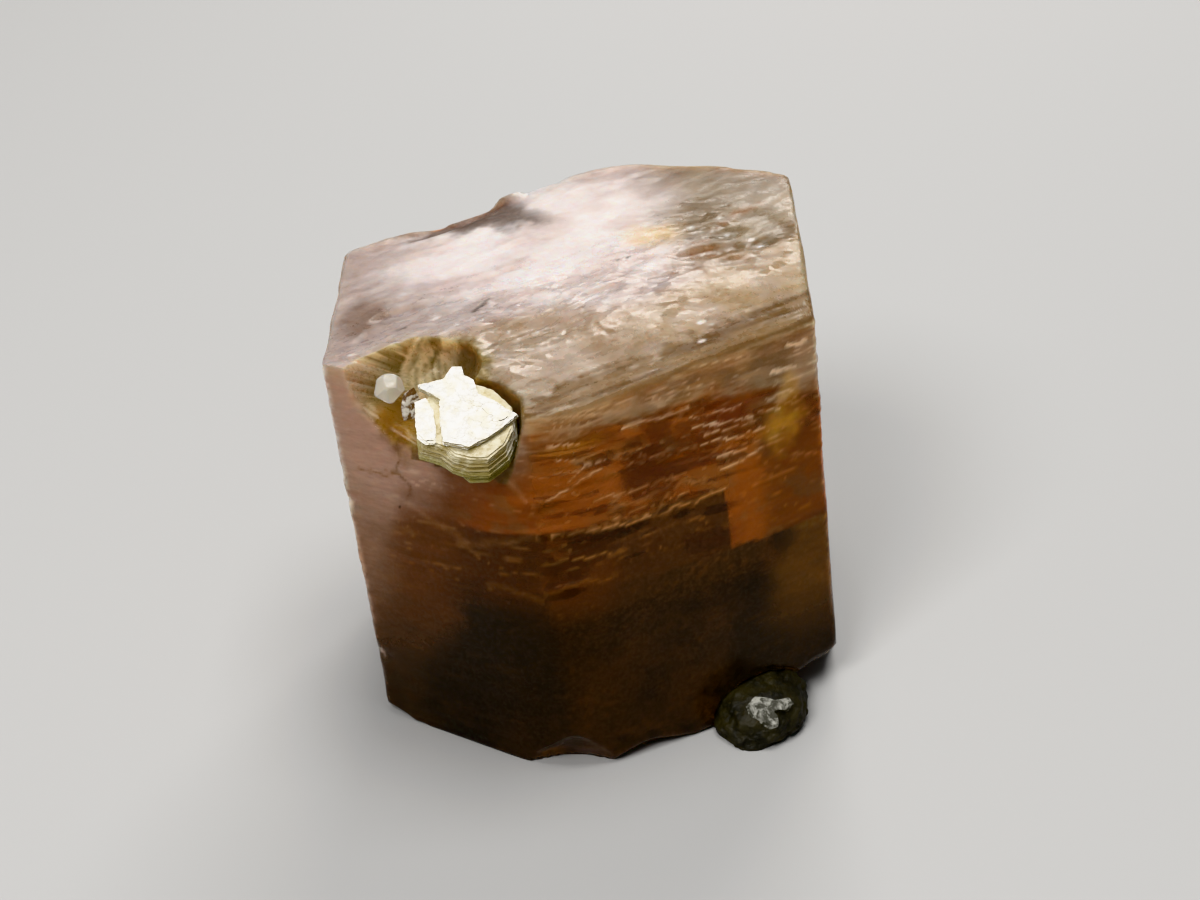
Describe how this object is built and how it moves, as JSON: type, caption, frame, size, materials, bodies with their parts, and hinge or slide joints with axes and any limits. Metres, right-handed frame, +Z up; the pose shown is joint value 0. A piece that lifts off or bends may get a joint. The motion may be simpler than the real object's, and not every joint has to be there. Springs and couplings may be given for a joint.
{
  "type": "apatite crystal with mica",
  "caption": "Stout six-sided lilac-pink and amber apatite crystal standing on its broken base, with a small book of mica in its upper front and a lump of matrix under one corner.",
  "frame": {"origin": "middle of the object's footprint, on the surface it stands on", "axes": "+Z up; +X to the right and +Y away as seen from the front, where the mica book is; the crystal's long axis leans 6.3 degrees from +Z towards -X"},
  "size_m": [0.025, 0.0256, 0.0223],
  "materials": {
    "apatite": "satin",
    "mica": "gloss",
    "pale_mineral": "satin",
    "matrix": "matte"
  },
  "bodies": {
    "root": {"apatite_crystal": "apatite", "mica_book": "mica", "mica_flake": "mica", "pale_grain": "pale_mineral", "base_knob": "matrix", "knob_mica": "mica"}
  },
  "joints": []
}
